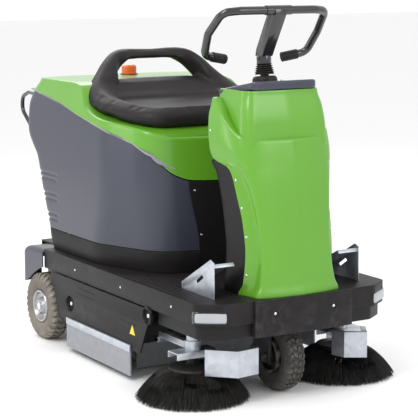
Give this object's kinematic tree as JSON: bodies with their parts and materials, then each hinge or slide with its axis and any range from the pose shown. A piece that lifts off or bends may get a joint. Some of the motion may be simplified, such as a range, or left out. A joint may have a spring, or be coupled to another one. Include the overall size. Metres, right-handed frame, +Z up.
{
  "type": "ride on sweeper",
  "caption": "Compact ride-on floor sweeper: steered front wheel, two side brushes, enclosed main brush, seat on a tilting hood and a rear debris hopper.",
  "frame": {"origin": "on the floor under the middle of the machine's box", "axes": "+Z up, -Y is the driving direction, +X is the driver's left"},
  "size_m": [1.01, 1.544, 1.3175],
  "materials": {
    "green_shell": "glossy moulded cover",
    "grey_shell": "satin moulded cover",
    "black_plastic": "grained moulding",
    "gloss_black": "gloss black",
    "zinc": "bright zinc-plated sheet",
    "painted_frame": "black powder coat",
    "rear_tyre": "grey-brown tread",
    "front_tyre": "black tread",
    "rim": "satin silver",
    "rubber": "soft skirt rubber",
    "bristle": "stiff nylon filament",
    "lamp_grey": "grey lens",
    "beacon_orange": "translucent orange",
    "seat_foam": "self-skinned foam",
    "bright_steel": "bright fastener",
    "machine_parts": "cast and machined"
  },
  "bodies": {
    "chassis": {"chassis_frame": "painted_frame", "steering_tube": "painted_frame", "deck_tray": "black_plastic", "front_bumper": "black_plastic", "cover_fasteners": "bright_steel", "corner_lamps": "lamp_grey", "side_panels": "black_plastic", "skirt_rails": "zinc", "dust_skirts": "rubber", "rear_fenders": "grey_shell", "body_plinth": "black_plastic", "body_sides": "grey_shell", "rear_panel": "grey_shell", "front_panel": "black_plastic", "grab_handles": "gloss_black", "column_cowl": "green_shell", "column_back": "black_plastic", "dash_cap": "grey_shell", "pedal_frames": "zinc", "pivot_pins": "bright_steel", "rear_axles": "bright_steel", "brush_tunnel": "painted_frame", "brush_motor": "machine_parts", "drive_belt": "rubber", "battery_pack": "black_plastic", "dust_filter": "black_plastic", "hinge_leaves": "zinc"},
    "hood": {"hood": "green_shell", "hood_seal": "rubber", "seat_cushion": "seat_foam", "seat_backrest": "seat_foam", "beacon": "beacon_orange", "hood_knuckles": "zinc"},
    "steering": {"wheel_fork": "painted_frame", "column_boot": "rubber", "bar_post": "gloss_black", "handlebar": "gloss_black", "bar_grips": "black_plastic"},
    "front_wheel": {"front_tyre": "front_tyre", "front_hub": "painted_frame"},
    "rear_wheel_right": {"rear_tyre_right": "rear_tyre", "rear_rim_right": "rim"},
    "rear_wheel_left": {"rear_tyre_left": "rear_tyre", "rear_rim_left": "rim"},
    "main_brush": {"main_brush_core": "black_plastic", "main_brush_bristles": "bristle"},
    "brush_drive": {"motor_pulley": "machine_parts"},
    "side_arm_right": {"brush_arm_right": "zinc", "brush_guard_right": "zinc"},
    "side_arm_left": {"brush_arm_left": "zinc", "brush_guard_left": "zinc"},
    "side_brush_right": {"side_disc_right": "black_plastic", "side_bristles_right": "bristle"},
    "side_brush_left": {"side_disc_left": "black_plastic", "side_bristles_left": "bristle"},
    "pedal_right": {"foot_pedal_right": "zinc"},
    "pedal_left": {"foot_pedal_left": "zinc"},
    "hopper": {"hopper": "painted_frame"},
    "key": {"ignition_key": "bright_steel"},
    "horn": {"horn_button": "gloss_black"}
  },
  "joints": [
    {"name": "steer", "type": "hinge", "parent": "chassis", "child": "steering", "pos_m": [0, -0.606, 0.125], "axis": [0, 0.0988, 0.9951], "range_deg": [-45, 45]},
    {"name": "front_wheel_spin", "type": "hinge", "parent": "steering", "child": "front_wheel", "pos_m": [0, -0.606, 0.125], "axis": [1, 0, 0], "continuous": true},
    {"name": "rear_wheel_right_spin", "type": "hinge", "parent": "chassis", "child": "rear_wheel_right", "pos_m": [-0.362, 0.478, 0.13], "axis": [1, 0, 0], "continuous": true},
    {"name": "rear_wheel_left_spin", "type": "hinge", "parent": "chassis", "child": "rear_wheel_left", "pos_m": [0.362, 0.478, 0.13], "axis": [1, 0, 0], "continuous": true},
    {"name": "main_brush_spin", "type": "hinge", "parent": "chassis", "child": "main_brush", "pos_m": [0, -0.01, 0.125], "axis": [1, 0, 0], "continuous": true},
    {"name": "brush_drive_spin", "type": "hinge", "parent": "chassis", "child": "brush_drive", "pos_m": [-0.2, 0.212, 0.264], "axis": [1, 0, 0], "continuous": true},
    {"name": "side_arm_right_lift", "type": "hinge", "parent": "chassis", "child": "side_arm_right", "pos_m": [-0.302, -0.33, 0.162], "axis": [-1, 0, 0], "range_deg": [0, 6]},
    {"name": "side_arm_left_lift", "type": "hinge", "parent": "chassis", "child": "side_arm_left", "pos_m": [0.302, -0.33, 0.162], "axis": [-1, 0, 0], "range_deg": [0, 6]},
    {"name": "side_brush_right_spin", "type": "hinge", "parent": "side_arm_right", "child": "side_brush_right", "pos_m": [-0.305, -0.543, 0.1], "axis": [0, 0, 1], "continuous": true},
    {"name": "side_brush_left_spin", "type": "hinge", "parent": "side_arm_left", "child": "side_brush_left", "pos_m": [0.305, -0.543, 0.1], "axis": [0, 0, 1], "continuous": true},
    {"name": "hood_open", "type": "hinge", "parent": "chassis", "child": "hood", "pos_m": [0, 0.656, 0.962], "axis": [-1, 0, 0], "range_deg": [0, 65]},
    {"name": "pedal_right_press", "type": "hinge", "parent": "chassis", "child": "pedal_right", "pos_m": [-0.252, -0.468, 0.372], "axis": [1, 0, 0], "range_deg": [0, 12], "stiffness_Nm_per_rad": 5, "springref_deg": -20.05},
    {"name": "pedal_left_press", "type": "hinge", "parent": "chassis", "child": "pedal_left", "pos_m": [0.252, -0.468, 0.372], "axis": [1, 0, 0], "range_deg": [0, 12], "stiffness_Nm_per_rad": 5, "springref_deg": -20.05},
    {"name": "key_turn", "type": "hinge", "parent": "chassis", "child": "key", "pos_m": [0.096, -0.478, 1.03], "axis": [0, 0, -1], "range_deg": [0, 70]},
    {"name": "hopper_slide", "type": "slide", "parent": "chassis", "child": "hopper", "axis": [0, 1, 0], "range_m": [0, 0.35]},
    {"name": "horn_press", "type": "slide", "parent": "chassis", "child": "horn", "axis": [0, 0, -1], "range_m": [0, 0.004], "stiffness_N_per_m": 300, "springref_m": -0.01}
  ],
  "couplings": [
    {"joint": "brush_drive_spin", "follows": "main_brush_spin", "ratio": 1.5}
  ]
}
